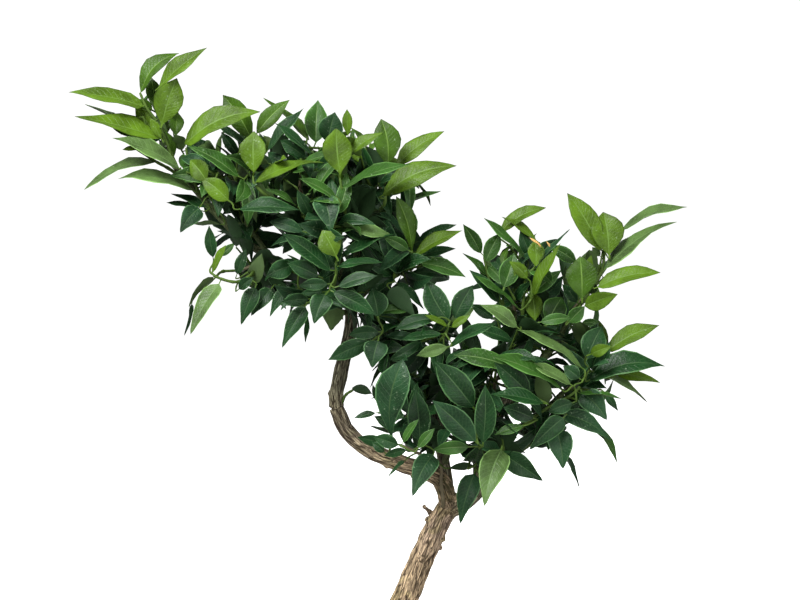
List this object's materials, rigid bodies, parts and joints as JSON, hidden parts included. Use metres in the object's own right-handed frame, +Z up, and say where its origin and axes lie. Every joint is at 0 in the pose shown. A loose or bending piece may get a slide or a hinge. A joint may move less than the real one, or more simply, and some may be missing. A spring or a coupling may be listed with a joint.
{
  "type": "myrtle-leaf orange bonsai",
  "caption": "Small leaning citrus tree with an S-shaped left bough, an open two-part crown of pointed leaves and a plain oval pot.",
  "frame": {"origin": "middle of the pot's flat underside", "axes": "+Z up, +X to the right of the front view, +Y from the front view to the back"},
  "size_m": [0.3853, 0.1799, 0.4677],
  "materials": {
    "clay": "unglazed brown stoneware, matt",
    "soil": "damp granular bonsai soil",
    "bark": "greyish tan bark with shallow lengthwise furrows",
    "leaf_young": "semi-gloss yellow-green young leaves",
    "leaf_mixed": "semi-gloss mid-green leaves",
    "leaf_old": "semi-gloss dark bluish-green leaves with pale edges"
  },
  "bodies": {
    "root": {"pot": "clay", "soil": "soil", "trunk": "bark", "bough_left_sweep": "bark", "bough_left_rise": "bark", "bough_centre": "bark", "bough_right": "bark", "branch_far_left": "bark", "branch_left_hanging": "bark", "branch_left_shelf": "bark", "branch_crest": "bark", "branch_crest_right": "bark", "branch_heart": "bark", "branch_shoulder": "bark", "branch_skirt": "bark", "branch_back_left": "bark", "branch_back_middle": "bark", "branch_back_right": "bark", "branch_inner": "bark", "branch_inner_low": "bark", "branch_apron": "bark", "branch_front": "bark", "branch_middle": "bark", "branch_right_tip": "bark", "branch_right_side": "bark", "branch_right_low": "bark", "branch_lower_back": "bark", "branch_right_back": "bark", "leaves_far_left": "leaf_young", "leaves_left_shelf": "leaf_young", "leaves_left_hanging": "leaf_old", "leaves_crest": "leaf_young", "leaves_crest_right": "leaf_young", "leaves_heart": "leaf_mixed", "leaves_shoulder": "leaf_mixed", "leaves_skirt": "leaf_old", "leaves_back_left": "leaf_mixed", "leaves_back_middle": "leaf_mixed", "leaves_back_right": "leaf_mixed", "leaves_inner": "leaf_old", "leaves_inner_low": "leaf_old", "leaves_apron": "leaf_old", "leaves_front": "leaf_old", "leaves_middle": "leaf_mixed", "leaves_right_tip": "leaf_young", "leaves_right_side": "leaf_mixed", "leaves_right_low": "leaf_old", "leaves_lower_back": "leaf_old", "leaves_right_back": "leaf_mixed"}
  },
  "joints": []
}
